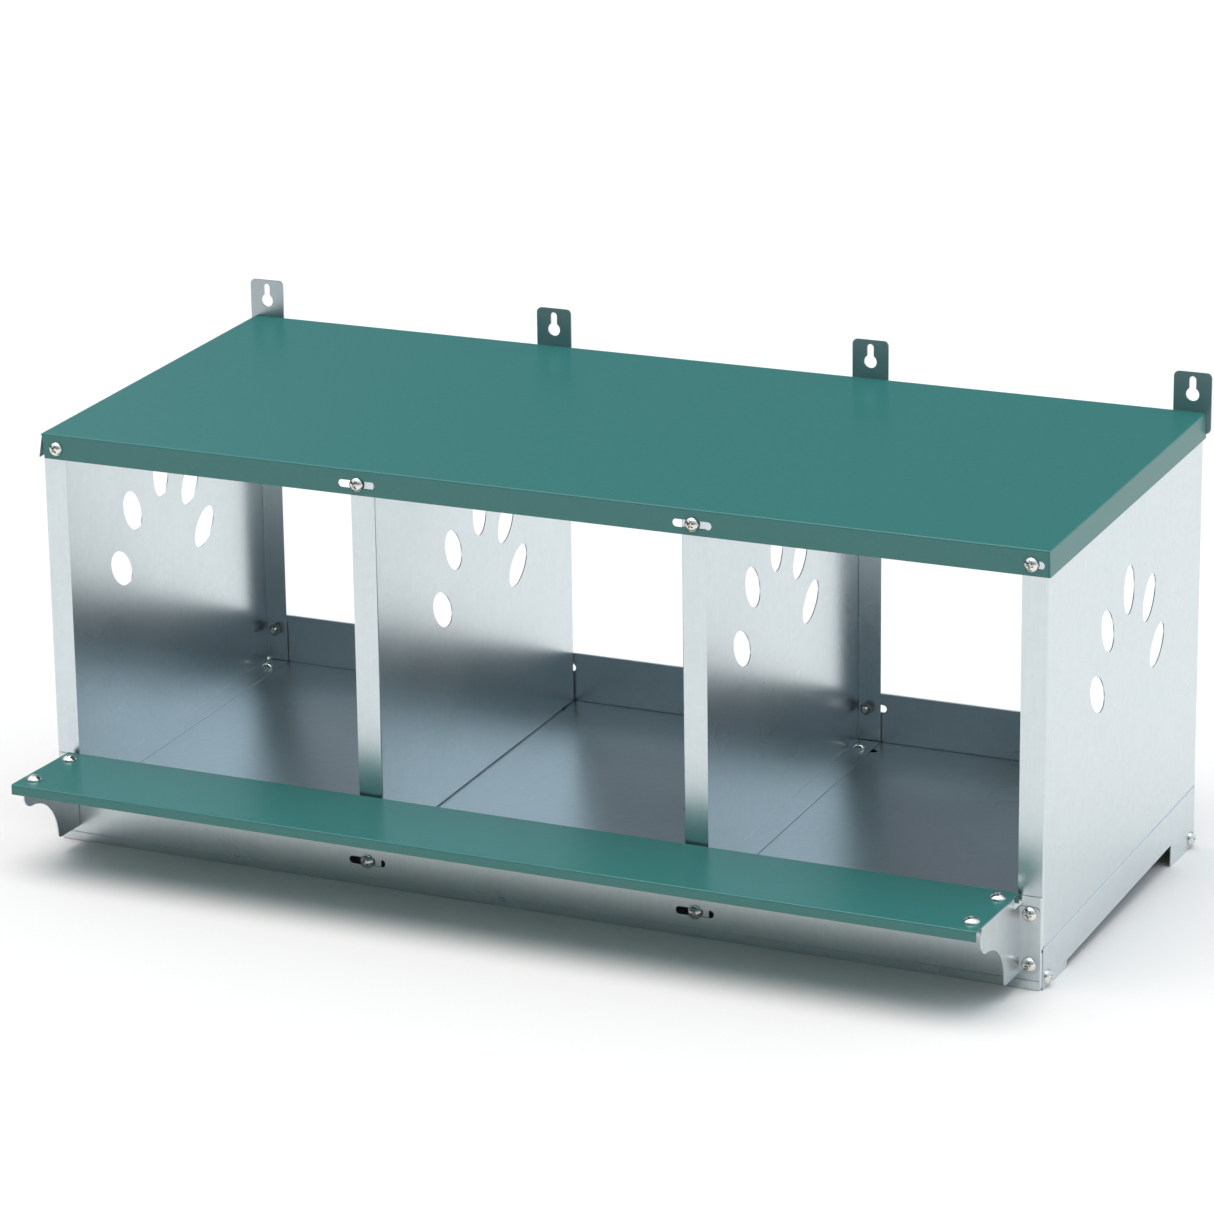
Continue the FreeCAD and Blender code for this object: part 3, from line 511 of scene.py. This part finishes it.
# The glows of the sky. A glow is the product of its fades, and each fade runs along an axis
# of the sky, from one place to another, between two brightnesses.
SKY_COLOUR = (0.84, 1.0, 1.12)
OVERHEAD_GLOW = [("Z", 0.35, 0.95, 0.06, 0.7)]
LEFT_GLOW = [("X", -0.42, -0.60, 0.0, 0.8), ("Z", 0.27, 0.42, 0.0, 1.0)]
RIGHT_GLOW = [("X", 0.10, 0.42, 0.0, 0.75), ("Y", -0.80, 0.0, 0.35, 1.0)]
REAR_GLOW = [("Y", 0.5, 0.8, 0.0, 0.16), ("Z", 0.33, 0.40, 1.0, 0.0)]


def make_floor():
    finish = Finish("floor_paint")
    finish.shader.inputs["Base Color"].default_value = (*FLOOR_COLOUR, 1.0)
    finish.shader.inputs["Roughness"].default_value = FLOOR_ROUGHNESS
    finish.shader.inputs["Specular IOR Level"].default_value = FLOOR_SHEEN
    mesh = bpy.data.meshes.new("floor")
    corners = [(x * FLOOR_HALF_WIDTH, y * FLOOR_HALF_WIDTH, 0)
               for x, y in ((-1, -1), (1, -1), (1, 1), (-1, 1))]
    mesh.from_pydata(corners, [], [(0, 1, 2, 3)])
    floor = bpy.data.objects.new("floor", mesh)
    bpy.context.scene.collection.objects.link(floor)
    floor.location.z = cad_box[0].z - FLOOR_GAP
    paint(floor, finish.material)


def make_sun():
    data = bpy.data.lights.new("overhead", "SUN")
    data.angle = SUN_DISC
    data.energy = SUN_STRENGTH
    data.color = SUN_COLOUR
    sun = bpy.data.objects.new("overhead", data)
    away = direction(SUN_AZIMUTH, SUN_ELEVATION)
    sun.location = CAMERA_TARGET + away * SUN_DISTANCE
    sun.rotation_euler = away.to_track_quat("Z", "Y").to_euler()
    bpy.context.scene.collection.objects.link(sun)


def make_sky():
    """A dim studio room that brightens overhead, at both sides and low at the rear."""
    sky = bpy.data.worlds.new("studio")
    sky.use_nodes = True
    tree = sky.node_tree
    background = next(node for node in tree.nodes if node.type == "BACKGROUND")
    place = tree.nodes.new("ShaderNodeTexCoord")
    split = tree.nodes.new("ShaderNodeSeparateXYZ")
    tree.links.new(place.outputs["Generated"], split.inputs[0])

    def fade(axis, start, finish, low, high):
        node = tree.nodes.new("ShaderNodeMapRange")
        node.interpolation_type = "SMOOTHSTEP"
        for key, value in (("From Min", start), ("From Max", finish),
                           ("To Min", low), ("To Max", high)):
            node.inputs[key].default_value = value
        tree.links.new(split.outputs[axis], node.inputs["Value"])
        return node.outputs[0]

    def combine(operation, first, second):
        node = tree.nodes.new("ShaderNodeMath")
        node.operation = operation
        tree.links.new(first, node.inputs[0])
        tree.links.new(second, node.inputs[1])
        return node.outputs[0]

    def glow(fades):
        product = fade(*fades[0])
        for further in fades[1:]:
            product = combine("MULTIPLY", product, fade(*further))
        return product
    low_glows = combine("ADD", glow(LEFT_GLOW), glow(RIGHT_GLOW))
    low_glows = combine("ADD", low_glows, glow(REAR_GLOW))
    strength = combine("ADD", glow(OVERHEAD_GLOW), low_glows)
    tree.links.new(strength, background.inputs["Strength"])
    background.inputs["Color"].default_value = (*SKY_COLOUR, 1.0)
    bpy.context.scene.world = sky


def light_studio():
    make_sky()
    make_sun()
    view = bpy.context.scene.view_settings
    view.view_transform = "Standard"
    view.look = "None"


make_camera()
finish_cad_nodes()
make_fasteners()
make_floor()
light_studio()
